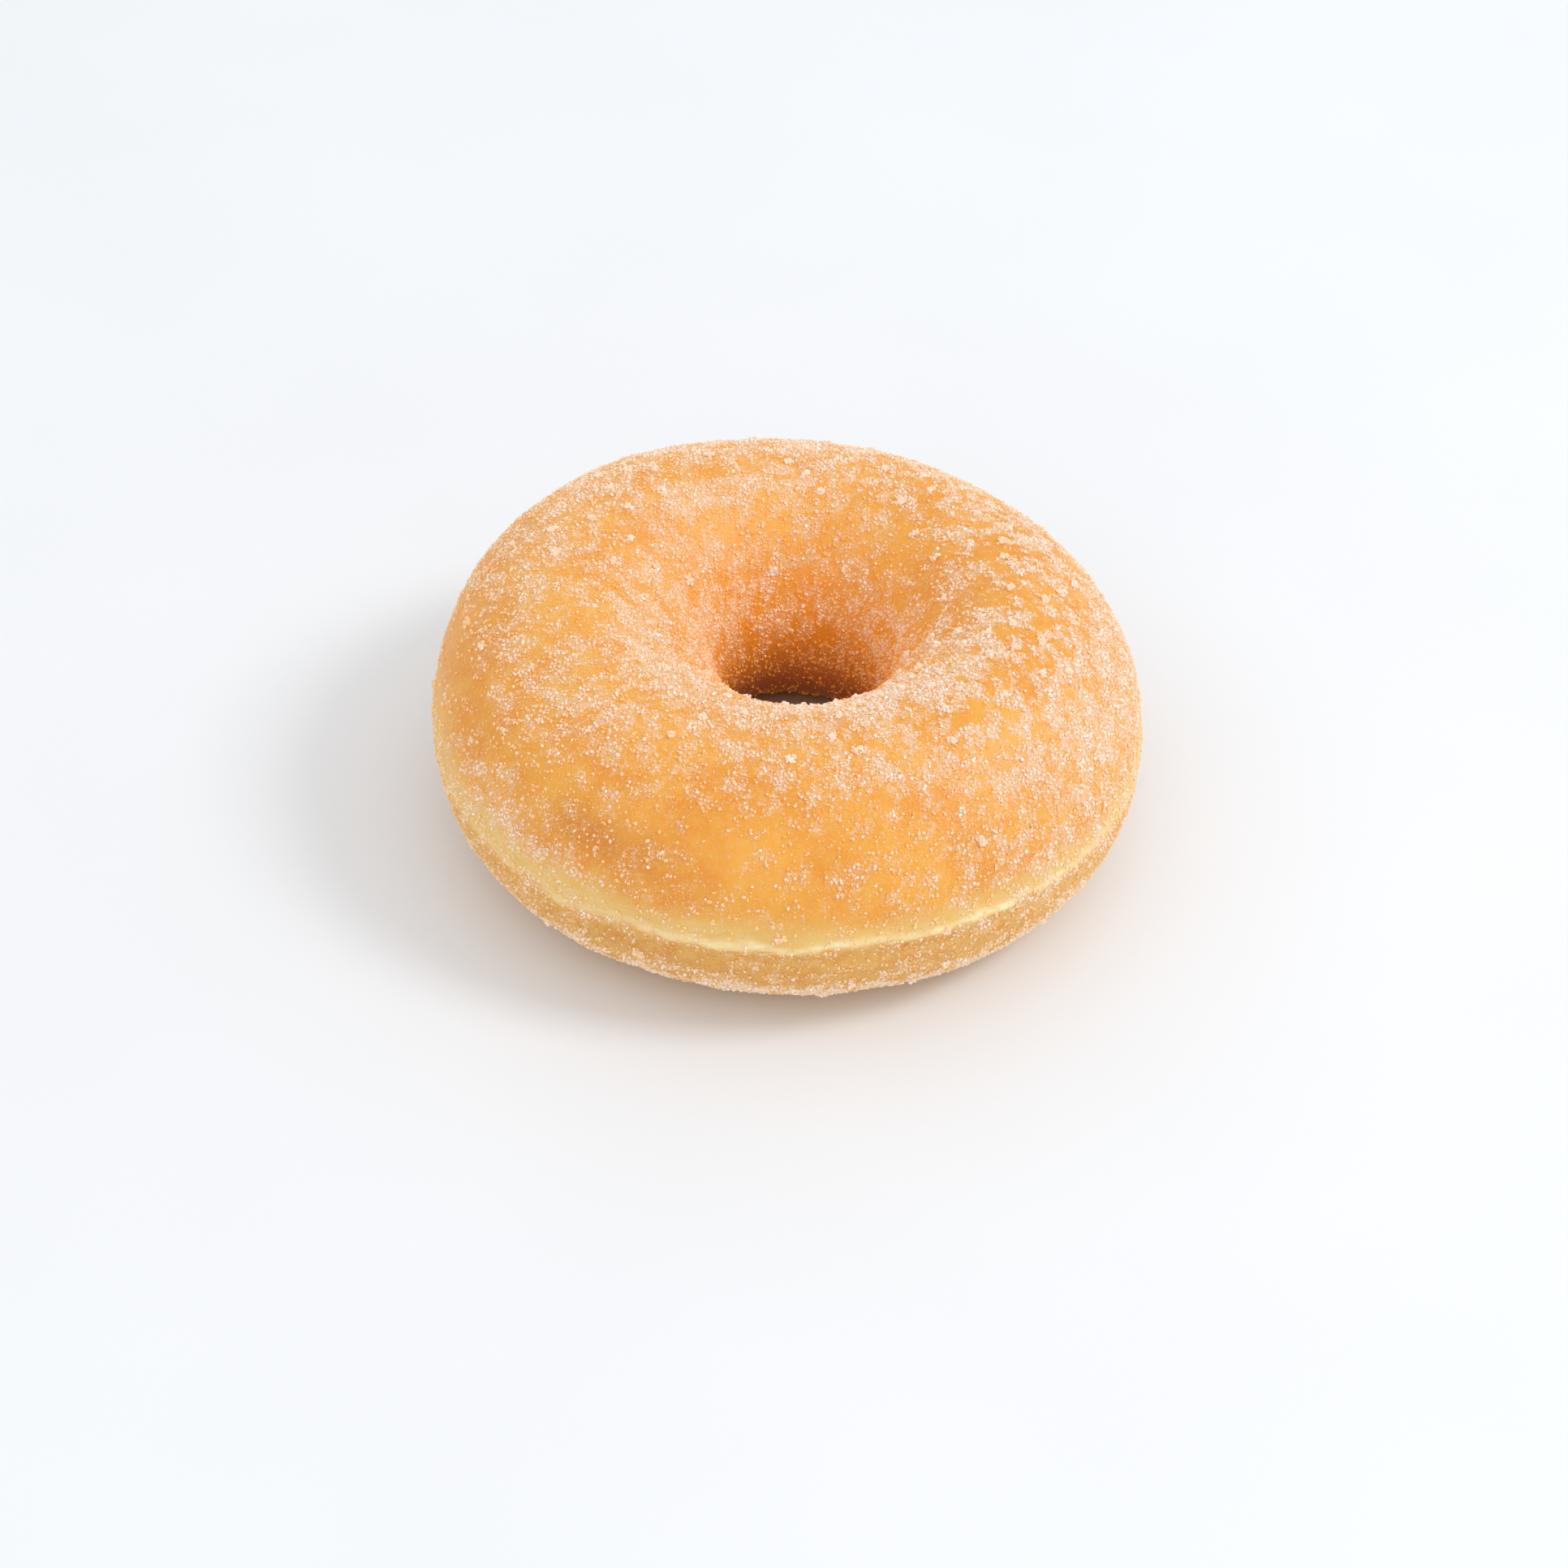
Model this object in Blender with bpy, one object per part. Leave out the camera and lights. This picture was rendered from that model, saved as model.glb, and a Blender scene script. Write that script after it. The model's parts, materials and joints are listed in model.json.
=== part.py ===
"""Sugared ring doughnut: one baked piece with a pale waist band and fused clumps of sugar.

Units are metres, +Z is up, and the doughnut rests on the plane z = 0.
A place on the ring is given by two angles in radians: its azimuth about +Z (0 is +X),
and its section angle (0 faces outwards, a quarter turn is the crown, a half turn is the hole).
"""

import math
import random

import bmesh
import bpy
import numpy as np
from mathutils import Matrix, Vector, noise

MM = 0.001

# The ring as a whole.
OUTER_RADIUS = 47.5 * MM
HOLE_RADIUS = 11.0 * MM
CROWN_HEIGHT = 35.2 * MM
HOLE_SHIFT_X = 2.2 * MM
HOLE_SHIFT_Y = 2.0 * MM
WAIST_SHARE = 0.435          # height of the widest line, as a share of the crown's height
CREST_SHARE = 0.5            # place of the crown line between hole and outline
TOP_ROUNDNESS = 1.92         # superellipse exponents of the upper and lower half section
BOTTOM_ROUNDNESS = 2.16
SINK = 0.7 * MM              # how far the round section would dip under the resting plane

# Unevenness of hand-cut dough: (lobes, height, azimuth of the first lobe in degrees).
OUTLINE_LOBES = ((2, 0.52 * MM, -36.5), (3, 0.14 * MM, -26.0), (4, 0.17 * MM, -37.0))
HOLE_LOBES = ((2, 0.25 * MM, -55.5),)
CROWN_LOBES = ((1, 0.44 * MM, 158.5), (2, 1.17 * MM, -25.8))

# Relief of the crust: (size of a swell, height).
SWELLS = ((15.0 * MM, 0.30 * MM), (5.0 * MM, 0.14 * MM))
FOOT_HEIGHT = 4.0 * MM       # the relief fades out below this height

# The pale band round the waist, and the crease along its lower edge.
BAND_LOW = (math.radians(-1.0), math.radians(3.0), math.radians(-75.0))    # mean, sway, highest at
BAND_TOP = (math.radians(18.0), math.radians(2.5), math.radians(120.0))
BAND_HOLLOW = 0.22 * MM
LIP_HEIGHT = 0.26 * MM
LIP_WIDTH = math.radians(3.0)
CREASE_DEPTH = 0.50 * MM
CREASE_WIDTH = math.radians(3.2)
CREASE_DROP = math.radians(3.6)
CREASE_MIDDLE = math.radians(-68.0)
CREASE_REACH = 1.9           # how sharply the crease fades away from its middle azimuth

# Facets of the solid.
RING_STEPS = 84
SECTION_STEPS = 38
ROW_CROWDING = 0.6           # rows stand closer together at the waist
ROW_MIDDLE = math.radians(2.0)
OUTLINE_STEPS = 721          # places round the outline from which its middle is found
SLOPE_STEP = math.radians(0.5)       # turn over which the surface's direction is measured
SMALLEST_NORMAL = 1e-12

# Clumps of sugar that stick out of the coat.
CLUMP_COUNT = 132
CLUMP_WIDE = (0.70 * MM, 1.20 * MM)
CLUMP_TALL = (0.42 * MM, 0.62 * MM)
CLUMP_GAP = 2.7 * MM
CLUMP_LIFT = 0.08 * MM
CLUMP_SLIMMEST = 0.8         # least width across, as a share of the width along
CLUMP_ROUGHNESS = 0.22
CLUMP_SEED = 7
CLUMP_SEED_STEP = 1000
CLUMP_LOWEST = math.radians(-44.0)
CLUMP_DEEPEST = math.radians(150.0)
CLUMP_TRIALS = 6000
PLASTIC = 1.32471795724      # its powers spread the trial places evenly over two directions
SIDE_SECTION = math.radians(8.0)     # where the ring is widest, and where it is highest
CROWN_SECTION = math.radians(89.0)

# Where the coat of sugar is thick: azimuth, section angle, both half widths in degrees, cover.
SUGAR_PATCHES = (
    (-48.0, 118.0, 62.0, 24.0, 0.95),
    (-8.0, 88.0, 46.0, 24.0, 0.75),
    (38.0, 74.0, 40.0, 26.0, 0.60),
    (-172.0, 78.0, 40.0, 28.0, 0.35),
    (118.0, 74.0, 58.0, 30.0, 0.40),
    (-92.0, 90.0, 40.0, 16.0, 0.25),
    (-30.0, 42.0, 28.0, 20.0, 0.30),
    (-75.0, -28.0, 80.0, 12.0, 0.50),
    (90.0, -20.0, 95.0, 20.0, 0.30),
)
SUGAR_BASE = 0.02

CRUST_COLOUR = (0.84, 0.40, 0.09, 1.0)
CRUST_ROUGHNESS = 0.55
SUGAR_COLOUR = (0.90, 0.80, 0.70, 1.0)
SUGAR_ROUGHNESS = 0.30


def lobed(azimuth, lobes):
    """Unevenness at an azimuth, as a sum of cosine lobes."""
    total = np.zeros_like(azimuth)
    for count, height, first in lobes:
        total = total + height * np.cos(count * (azimuth - math.radians(first)))
    return total


def swayed(azimuth, sway):
    """A section angle that rises and falls once round the ring."""
    mean, amount, highest = sway
    return mean + amount * np.cos(azimuth - highest)


def hump(angle, middle, width):
    """A smooth bump of height one, round a section angle."""
    return np.exp(-((angle - middle) / width) ** 2)


def waist_relief(azimuth, section):
    """Outward offset of the waist: a shallow hollow band over a lip and a crease."""
    low = swayed(azimuth, BAND_LOW)
    top = swayed(azimuth, BAND_TOP)
    band = hump(section, (low + top) / 2.0, (top - low) / 2.0)
    strength = np.exp(CREASE_REACH * (np.cos(azimuth - CREASE_MIDDLE) - 1.0))
    lip = hump(section, low, LIP_WIDTH)
    crease = hump(section, low - CREASE_DROP, CREASE_WIDTH)
    return strength * (LIP_HEIGHT * lip - CREASE_DEPTH * crease) - BAND_HOLLOW * band


def signed_power(value, power):
    """Power of a number that keeps its sign."""
    return np.sign(value) * np.abs(value) ** power


def smooth_form(azimuth, section):
    """Points of the ring before the crust's relief, as an array of x, y, z."""
    outer = OUTER_RADIUS + lobed(azimuth, OUTLINE_LOBES)
    shift = HOLE_SHIFT_X * np.cos(azimuth) + HOLE_SHIFT_Y * np.sin(azimuth)
    inner = HOLE_RADIUS + shift + lobed(azimuth, HOLE_LOBES)
    height = CROWN_HEIGHT + lobed(azimuth, CROWN_LOBES)
    crest = inner + (outer - inner) * CREST_SHARE
    waist = WAIST_SHARE * height
    across = np.cos(section)
    upward = np.sin(section)
    power = 2.0 / np.where(upward >= 0.0, TOP_ROUNDNESS, BOTTOM_ROUNDNESS)
    half_width = np.where(across >= 0.0, outer - crest, crest - inner)
    half_height = np.where(upward >= 0.0, height - waist, waist + SINK)
    radius = crest + half_width * signed_power(across, power) + waist_relief(azimuth, section)
    level = np.maximum(waist + half_height * signed_power(upward, power), 0.0)
    return np.stack([radius * np.cos(azimuth), radius * np.sin(azimuth), level], axis=-1)


def footprint_middle():
    """Middle of the outline's box, from a fine ring of points."""
    azimuth = np.linspace(-math.pi, math.pi, OUTLINE_STEPS)
    outline = smooth_form(azimuth, np.zeros_like(azimuth))
    middle = (outline.max(axis=0) + outline.min(axis=0)) / 2.0
    middle[2] = 0.0
    return middle


def normals(azimuth, section):
    """Outward directions of the smooth form."""
    along = smooth_form(azimuth + SLOPE_STEP, section) - smooth_form(azimuth - SLOPE_STEP, section)
    over = smooth_form(azimuth, section + SLOPE_STEP) - smooth_form(azimuth, section - SLOPE_STEP)
    outward = np.cross(along, over)
    return outward / np.maximum(np.linalg.norm(outward, axis=-1, keepdims=True), SMALLEST_NORMAL)


def swell_height(point):
    """Low relief of the crust at a point, fading out towards the resting plane."""
    fade = min(point[2] / FOOT_HEIGHT, 1.0)
    total = 0.0
    for size, height in SWELLS:
        total += height * noise.noise(Vector(point) / size)
    return total * fade


def crust_points(azimuth, section):
    """Points of the finished crust, centred over the origin."""
    points = smooth_form(azimuth, section)
    relief = np.array([swell_height(point) for point in points])
    points = points + normals(azimuth, section) * relief[:, None]
    points[:, 2] = np.maximum(points[:, 2], 0.0)
    return points - footprint_middle()


def crowd_rows(section):
    """Move the rows of facets closer together at the waist."""
    return section - ROW_CROWDING * np.sin(section - ROW_MIDDLE)


def make_material(name, colour, roughness):
    """A plain Principled material."""
    material = bpy.data.materials.new(name)
    material.use_nodes = True
    shader = material.node_tree.nodes["Principled BSDF"]
    shader.inputs["Base Color"].default_value = colour
    shader.inputs["Roughness"].default_value = roughness
    return material


def make_ring(name, material):
    """The dough: a torus whose vertices are moved onto the doughnut's own form."""
    middle_radius = (OUTER_RADIUS + HOLE_RADIUS) / 2.0
    bpy.ops.mesh.primitive_torus_add(
        major_segments=RING_STEPS,
        minor_segments=SECTION_STEPS,
        major_radius=middle_radius,
        minor_radius=(OUTER_RADIUS - HOLE_RADIUS) / 2.0,
    )
    ring = bpy.context.object
    ring.name = name
    ring.data.name = name
    places = np.array([vertex.co[:] for vertex in ring.data.vertices])
    azimuth = np.arctan2(places[:, 1], places[:, 0])
    from_middle = np.hypot(places[:, 0], places[:, 1]) - middle_radius
    section = crowd_rows(np.arctan2(places[:, 2], from_middle))
    for vertex, point in zip(ring.data.vertices, crust_points(azimuth, section)):
        vertex.co = point
    ring.data.materials.append(material)
    ring.data.shade_smooth()
    return ring


def turn_between(first, second):
    """Signed turn from one angle in degrees to another, the short way round."""
    return (first - second + 180.0) % 360.0 - 180.0


def sugar_cover(azimuth, section):
    """How thick the coat of sugar lies at a place, from nothing to one."""
    bare = 1.0 - SUGAR_BASE
    for middle, angle, half_turn, half_rise, cover in SUGAR_PATCHES:
        sideways = turn_between(math.degrees(azimuth), middle) / half_turn
        upwards = (math.degrees(section) - angle) / half_rise
        bare *= 1.0 - cover * math.exp(-sideways * sideways - upwards * upwards)
    return 1.0 - bare


def widest_places():
    """The four sides and the crown's highest place, which the coat covers as well."""
    sides = [(side * math.pi / 2.0, SIDE_SECTION) for side in range(4)]
    return sides + [(math.radians(CROWN_LOBES[1][2]) + math.pi, CROWN_SECTION)]


def clump_places():
    """Places of the sugar clumps, spread evenly and thinned where the coat is thin."""
    draw = random.Random(CLUMP_SEED)
    chosen = []
    points = []
    trials = widest_places()
    for index in range(1, CLUMP_TRIALS):
        across = (index / PLASTIC) % 1.0
        upward = (index / PLASTIC ** 2) % 1.0
        azimuth = (2.0 * across - 1.0) * math.pi
        section = CLUMP_LOWEST + (CLUMP_DEEPEST - CLUMP_LOWEST) * upward
        if draw.random() < sugar_cover(azimuth, section):
            trials.append((azimuth, section))
    for azimuth, section in trials:
        point = smooth_form(np.array([azimuth]), np.array([section]))[0]
        if all(np.linalg.norm(point - other) > CLUMP_GAP for other in points):
            chosen.append((azimuth, section))
            points.append(point)
        if len(chosen) == CLUMP_COUNT:
            break
    return chosen


def make_clump(index, place, material):
    """One clump: a rough, flattened ball of grains half sunk in the crust."""
    draw = random.Random(CLUMP_SEED * CLUMP_SEED_STEP + index)
    azimuth = np.array([place[0]])
    section = np.array([place[1]])
    outward = Vector(normals(azimuth, section)[0])
    centre = Vector(crust_points(azimuth, section)[0]) + outward * CLUMP_LIFT
    wide = draw.uniform(*CLUMP_WIDE)
    long = wide * draw.uniform(CLUMP_SLIMMEST, 1.0)
    tall = draw.uniform(*CLUMP_TALL)
    lay = outward.to_track_quat("Z", "Y").to_matrix().to_4x4()
    spin = Matrix.Rotation(draw.uniform(0.0, 2.0 * math.pi), 4, "Z")
    stretch = Matrix.Diagonal((wide, long, tall, 1.0))
    mesh = bpy.data.meshes.new(f"clump_{index:03d}")
    shape = bmesh.new()
    bmesh.ops.create_icosphere(shape, subdivisions=1, radius=1.0)
    for vertex in shape.verts:
        vertex.co *= draw.uniform(1.0 - CLUMP_ROUGHNESS, 1.0 + CLUMP_ROUGHNESS)
    bmesh.ops.transform(shape, matrix=Matrix.Translation(centre) @ lay @ spin @ stretch, verts=shape.verts)
    shape.to_mesh(mesh)
    shape.free()
    mesh.materials.append(material)
    return bpy.data.objects.new(mesh.name, mesh)


def fuse_clumps(ring, clumps):
    """Join the clumps to the ring with one union, and remove the loose ones."""
    collection = bpy.data.collections.new("sugar_clumps")
    bpy.context.scene.collection.children.link(collection)
    for clump in clumps:
        collection.objects.link(clump)
    union = ring.modifiers.new("sugar", "BOOLEAN")
    union.operation = "UNION"
    union.operand_type = "COLLECTION"
    union.solver = "EXACT"
    union.material_mode = "TRANSFER"
    union.collection = collection
    bpy.context.view_layer.objects.active = ring
    bpy.ops.object.modifier_apply(modifier=union.name)
    for clump in clumps:
        bpy.data.meshes.remove(clump.data)
    bpy.data.collections.remove(collection)


def main():
    """Clear the scene and build the doughnut."""
    for thing in list(bpy.data.objects):
        bpy.data.objects.remove(thing)
    crust = make_material("crust", CRUST_COLOUR, CRUST_ROUGHNESS)
    sugar = make_material("sugar", SUGAR_COLOUR, SUGAR_ROUGHNESS)
    ring = make_ring("doughnut", crust)
    clumps = [make_clump(index, place, sugar) for index, place in enumerate(clump_places())]
    fuse_clumps(ring, clumps)


main()
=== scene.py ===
"""Looks of a sugared ring doughnut: its dough, its crust and its coat of sugar.

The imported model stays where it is. The dough stands in for it as a finer surface of the same
form, and the sugar lies on that surface as separate grains. Units are metres, +Z is up.
A place on the ring is given by two angles in radians: its azimuth about +Z (0 is +X), and
its section angle (0 faces outwards, a quarter turn is the crown, a half turn is the hole).
"""

from __future__ import annotations

import json
import logging
import math
import random
from dataclasses import dataclass
from enum import Enum
from typing import Any

import bpy
import numpy as np
from mathutils import Matrix, Vector, noise

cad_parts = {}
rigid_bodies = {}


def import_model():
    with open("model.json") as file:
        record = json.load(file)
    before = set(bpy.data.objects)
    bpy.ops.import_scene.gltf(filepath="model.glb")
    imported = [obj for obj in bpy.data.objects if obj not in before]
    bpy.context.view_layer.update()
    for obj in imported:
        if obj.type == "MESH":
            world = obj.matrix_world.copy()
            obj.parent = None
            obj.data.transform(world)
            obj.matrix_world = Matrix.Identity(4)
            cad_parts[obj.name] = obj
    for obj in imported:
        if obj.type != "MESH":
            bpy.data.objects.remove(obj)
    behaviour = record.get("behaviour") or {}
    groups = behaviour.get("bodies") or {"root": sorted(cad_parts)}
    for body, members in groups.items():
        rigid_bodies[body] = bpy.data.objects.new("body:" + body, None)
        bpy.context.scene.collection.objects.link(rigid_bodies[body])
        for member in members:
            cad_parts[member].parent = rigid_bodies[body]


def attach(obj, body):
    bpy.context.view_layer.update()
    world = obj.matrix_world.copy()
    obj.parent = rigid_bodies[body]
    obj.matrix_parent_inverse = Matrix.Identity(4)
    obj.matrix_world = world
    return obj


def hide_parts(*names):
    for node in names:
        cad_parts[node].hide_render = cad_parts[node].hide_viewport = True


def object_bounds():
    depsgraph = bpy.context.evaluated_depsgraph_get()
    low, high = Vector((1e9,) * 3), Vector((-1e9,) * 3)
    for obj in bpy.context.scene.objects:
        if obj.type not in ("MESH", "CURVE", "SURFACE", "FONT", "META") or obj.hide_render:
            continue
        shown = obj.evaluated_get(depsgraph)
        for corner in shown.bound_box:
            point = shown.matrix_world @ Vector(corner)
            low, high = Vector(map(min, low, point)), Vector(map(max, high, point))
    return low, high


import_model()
cad_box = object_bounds()

MM = 0.001
TURN = 360.0
SLOPE_STEP = math.radians(0.5)
OUTLINE_STEPS = 721
SMALLEST_NORMAL = 1e-12
HALF = 0.5
FULL_CHANNEL = 255.0
BODY = "root"
NODE = "doughnut"
log = logging.getLogger("doughnut")


# ---------------------------------------------------------------- the form of the ring


@dataclass(frozen=True)
class Lobes:
    """A slow unevenness round the ring, as cosine lobes.

    Attributes:
        terms: for each set of lobes its count, its height and its first azimuth in degrees.
    """

    terms: tuple[tuple[int, float, float], ...]

    def at(self, azimuth: np.ndarray) -> np.ndarray:
        """Height of the unevenness.

        Args:
            azimuth: azimuths in radians.

        Returns:
            The height at each azimuth.
        """
        total = np.zeros_like(azimuth)
        for count, height, first in self.terms:
            total = total + height * np.cos(count * (azimuth - math.radians(first)))
        return total


@dataclass(frozen=True)
class Sway:
    """A section angle, in degrees, that rises and falls once round the ring."""

    mean: float
    amount: float
    highest_at: float

    def at(self, azimuth: np.ndarray) -> np.ndarray:
        """The section angle in radians at an azimuth."""
        swing = np.cos(azimuth - math.radians(self.highest_at))
        return np.radians(self.mean + self.amount * swing)


def hump(angle: np.ndarray, middle: np.ndarray | float, width: np.ndarray | float) -> np.ndarray:
    """A smooth bump of height one round an angle."""
    return np.exp(-(((angle - middle) / width) ** 2))


def signed_power(value: np.ndarray, power: np.ndarray) -> np.ndarray:
    """Power of a number that keeps its sign."""
    return np.sign(value) * np.abs(value) ** power


def noise_at(points: np.ndarray, size: float, shift: float = 0.0) -> np.ndarray:
    """Smooth noise at each point.

    Args:
        points: rows of x, y, z.
        size: how far apart the noise's swells are.
        shift: moves the pattern, so that two of them differ.

    Returns:
        A number between about -1 and 1 for each row.
    """
    places = points / size + shift
    return np.array([noise.noise(Vector(place)) for place in places])


@dataclass(frozen=True)
class Swell:
    """Smooth noise that swings about a mean.

    Attributes:
        size: how far apart its swells are.
        height: how far it swings.
        shift: moves its pattern.
        mean: the value that it swings about.
    """

    size: float
    height: float
    shift: float = 0.0
    mean: float = 0.0

    def at(self, points: np.ndarray) -> np.ndarray:
        """The noise's value at each point."""
        return self.mean + self.height * noise_at(points, self.size, self.shift)


def swelling(swells: tuple[Swell, ...], points: np.ndarray) -> np.ndarray:
    """Sum of swells at each point."""
    return sum(swell.at(points) for swell in swells)


def eased(share: np.ndarray) -> np.ndarray:
    """A share that starts and ends softly."""
    return share * share * (3.0 - 2.0 * share)


@dataclass(frozen=True)
class RingForm:
    """The doughnut's outer form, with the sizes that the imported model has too."""

    outer_radius: float = 47.5 * MM
    hole_radius: float = 11.0 * MM
    crown_height: float = 35.2 * MM
    hole_shift: tuple[float, float] = (2.2 * MM, 2.0 * MM)
    waist_share: float = 0.435
    crest_share: float = 0.5
    top_roundness: float = 1.92
    bottom_roundness: float = 2.16
    sink: float = 0.7 * MM
    outline: Lobes = Lobes(((2, 0.52 * MM, -36.5), (3, 0.14 * MM, -26.0), (4, 0.17 * MM, -37.0)))
    hole: Lobes = Lobes(((2, 0.25 * MM, -55.5),))
    crown: Lobes = Lobes(((1, 0.44 * MM, 158.5), (2, 1.17 * MM, -25.8)))
    swells: tuple[Swell, ...] = (Swell(15.0 * MM, 0.30 * MM), Swell(5.0 * MM, 0.14 * MM))
    foot_height: float = 4.0 * MM
    band_low: Sway = Sway(-1.0, 3.0, -75.0)
    band_top: Sway = Sway(18.0, 2.5, 120.0)
    band_hollow: float = 0.22 * MM
    lip_height: float = 0.26 * MM
    lip_width: float = math.radians(3.0)
    crease_depth: float = 0.50 * MM
    crease_width: float = math.radians(3.2)
    crease_drop: float = math.radians(3.6)
    crease_middle: float = math.radians(-68.0)
    crease_reach: float = 1.9

    def crease_strength(self, azimuth: np.ndarray) -> np.ndarray:
        """How marked the crease under the band is, from nothing to one."""
        return np.exp(self.crease_reach * (np.cos(azimuth - self.crease_middle) - 1.0))

    def waist_relief(self, azimuth: np.ndarray, section: np.ndarray) -> np.ndarray:
        """Outward offset of the waist: a shallow hollow band over a lip and a crease.

        Args:
            azimuth: azimuth of each place.
            section: section angle of each place.

        Returns:
            The offset at each place.
        """
        low = self.band_low.at(azimuth)
        top = self.band_top.at(azimuth)
        band = hump(section, (low + top) / 2.0, (top - low) / 2.0)
        lip = hump(section, low, self.lip_width)
        crease = hump(section, low - self.crease_drop, self.crease_width)
        marked = self.crease_strength(azimuth) * (self.lip_height * lip - self.crease_depth * crease)
        return marked - self.band_hollow * band

    def smooth(self, azimuth: np.ndarray, section: np.ndarray) -> np.ndarray:
        """The ring before the crust's relief.

        Args:
            azimuth: azimuth of each place.
            section: section angle of each place.

        Returns:
            Rows of x, y, z.
        """
        outer = self.outer_radius + self.outline.at(azimuth)
        shift = self.hole_shift[0] * np.cos(azimuth) + self.hole_shift[1] * np.sin(azimuth)
        inner = self.hole_radius + shift + self.hole.at(azimuth)
        height = self.crown_height + self.crown.at(azimuth)
        crest = inner + (outer - inner) * self.crest_share
        waist = self.waist_share * height
        across = np.cos(section)
        upward = np.sin(section)
        power = 2.0 / np.where(upward >= 0.0, self.top_roundness, self.bottom_roundness)
        half_width = np.where(across >= 0.0, outer - crest, crest - inner)
        half_height = np.where(upward >= 0.0, height - waist, waist + self.sink)
        radius = crest + half_width * signed_power(across, power) + self.waist_relief(azimuth, section)
        level = np.maximum(waist + half_height * signed_power(upward, power), 0.0)
        return np.stack([radius * np.cos(azimuth), radius * np.sin(azimuth), level], axis=-1)

    def middle(self) -> np.ndarray:
        """Middle of the outline's box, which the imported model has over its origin.

        Returns:
            Its x and y, with a z of nothing.
        """
        azimuth = np.linspace(-math.pi, math.pi, OUTLINE_STEPS)
        outline = self.smooth(azimuth, np.zeros_like(azimuth))
        middle = (outline.max(axis=0) + outline.min(axis=0)) / 2.0
        middle[2] = 0.0
        return middle

    def normals(self, azimuth: np.ndarray, section: np.ndarray) -> np.ndarray:
        """Outward directions of the smooth form.

        Args:
            azimuth: azimuth of each place.
            section: section angle of each place.

        Returns:
            Rows of x, y, z, each of length one.
        """
        along = self.smooth(azimuth + SLOPE_STEP, section) - self.smooth(azimuth - SLOPE_STEP, section)
        over = self.smooth(azimuth, section + SLOPE_STEP) - self.smooth(azimuth, section - SLOPE_STEP)
        outward = np.cross(along, over)
        return outward / np.maximum(np.linalg.norm(outward, axis=-1, keepdims=True), SMALLEST_NORMAL)

    def crust(self, azimuth: np.ndarray, section: np.ndarray) -> np.ndarray:
        """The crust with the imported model's low relief, centred over the origin.

        Args:
            azimuth: azimuth of each place.
            section: section angle of each place.

        Returns:
            Rows of x, y, z.
        """
        points = self.smooth(azimuth, section)
        fade = np.minimum(points[:, 2] / self.foot_height, 1.0)
        relief = fade * swelling(self.swells, points)
        points = points + self.normals(azimuth, section) * relief[:, None]
        points[:, 2] = np.maximum(points[:, 2], 0.0)
        return points - self.middle()


# ---------------------------------------------------------------- where the sugar lies


def shortest(turn: np.ndarray) -> np.ndarray:
    """A turn in degrees, taken the short way round."""
    return (turn + TURN / 2.0) % TURN - TURN / 2.0


@dataclass(frozen=True)
class Patch:
    """A soft-edged patch of the ring's surface; angles and half widths in degrees."""

    azimuth: float
    section: float
    half_turn: float
    half_rise: float
    amount: float

    def at(self, azimuth: np.ndarray, section: np.ndarray) -> np.ndarray:
        """How much of the patch lies at each place.

        Args:
            azimuth: azimuth of each place.
            section: section angle of each place.

        Returns:
            The patch's amount in its middle, and less towards its edge.
        """
        turn = shortest(np.degrees(azimuth) - self.azimuth)
        rise = shortest(np.degrees(section) - self.section)
        return self.amount * np.exp(-((turn / self.half_turn) ** 2) - (rise / self.half_rise) ** 2)


def patched(patches: tuple[Patch, ...], azimuth: np.ndarray, section: np.ndarray) -> np.ndarray:
    """Sum of patches at each place."""
    return sum(patch.at(azimuth, section) for patch in patches)


def share_of(patches: tuple[Patch, ...], azimuth: np.ndarray, section: np.ndarray) -> np.ndarray:
    """Sum of patches at each place, kept from 0 to 1."""
    return np.clip(patched(patches, azimuth, section), 0.0, 1.0)


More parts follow.
